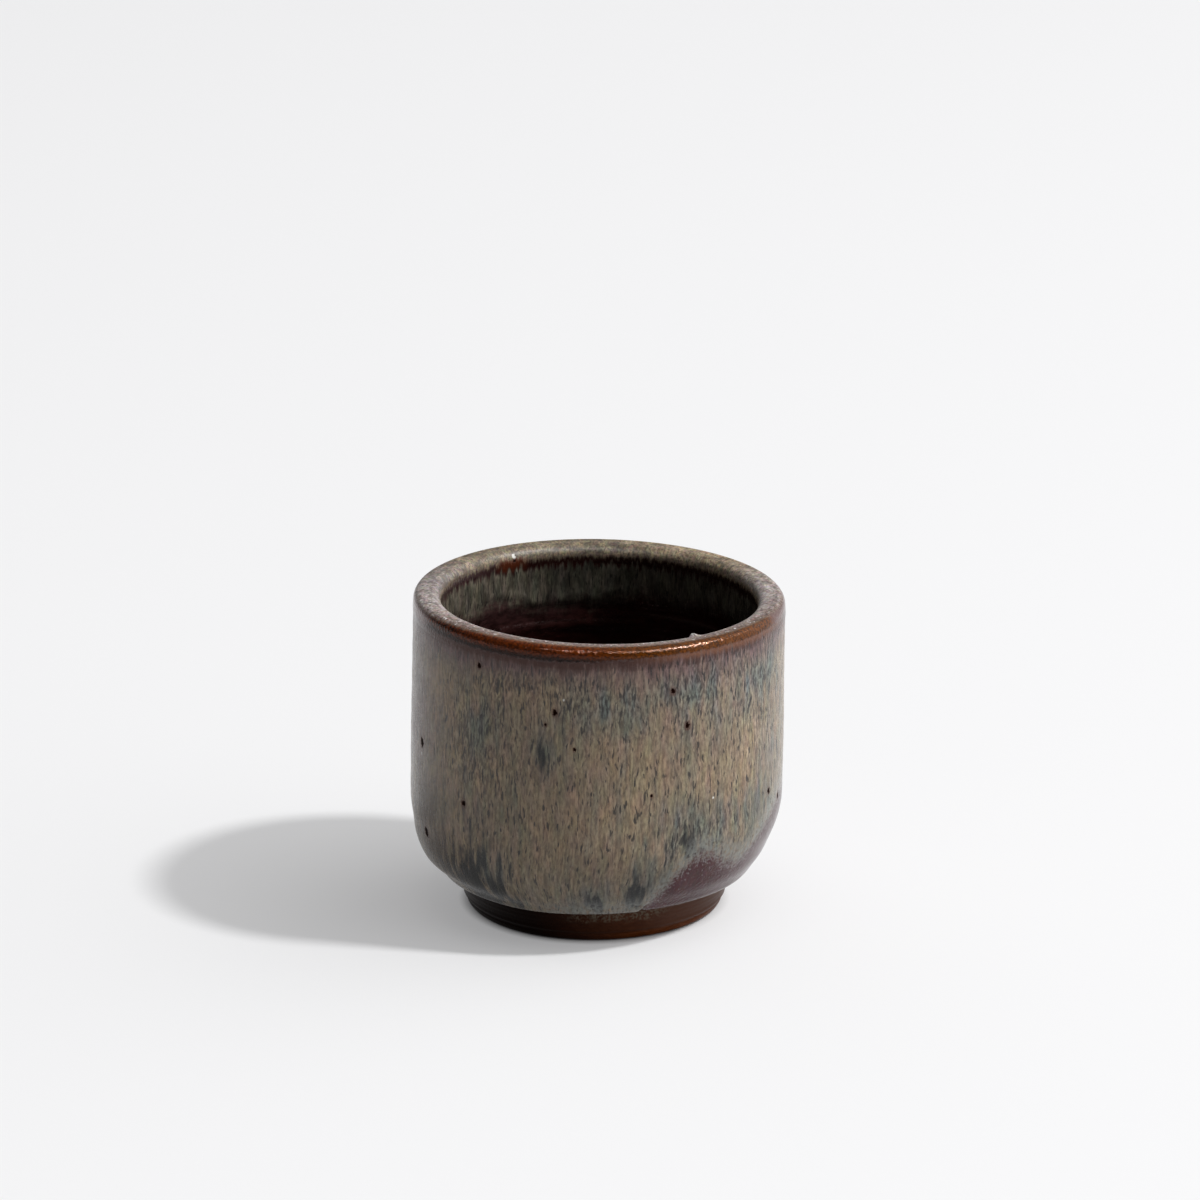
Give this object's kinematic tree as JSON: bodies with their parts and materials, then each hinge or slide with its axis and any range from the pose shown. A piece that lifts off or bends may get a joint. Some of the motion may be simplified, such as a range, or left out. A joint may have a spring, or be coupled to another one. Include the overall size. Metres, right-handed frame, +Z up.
{
  "type": "coffee cup",
  "caption": "Small handle-less stoneware coffee cup with a straight wall, rounded lower curve, turned foot ring and a pale streaked overglaze over a dark iron glaze.",
  "frame": {"origin": "centre of the foot ring on the table", "axes": "+Z up along the axis the cup was thrown about, -Y towards the pictured side, +X to its right"},
  "size_m": [0.0756, 0.0756, 0.066],
  "materials": {
    "stoneware": "matte",
    "iron_wash": "satin",
    "iron_glaze": "gloss",
    "overglaze": "gloss"
  },
  "bodies": {
    "root": {"thrown_body": "stoneware", "foot_ring": "stoneware", "foot_wash_coat": "iron_wash", "outer_base_glaze": "iron_glaze", "liner_glaze": "iron_glaze", "outer_overglaze": "overglaze", "rim_overglaze": "overglaze", "inner_overglaze": "overglaze"}
  },
  "joints": []
}
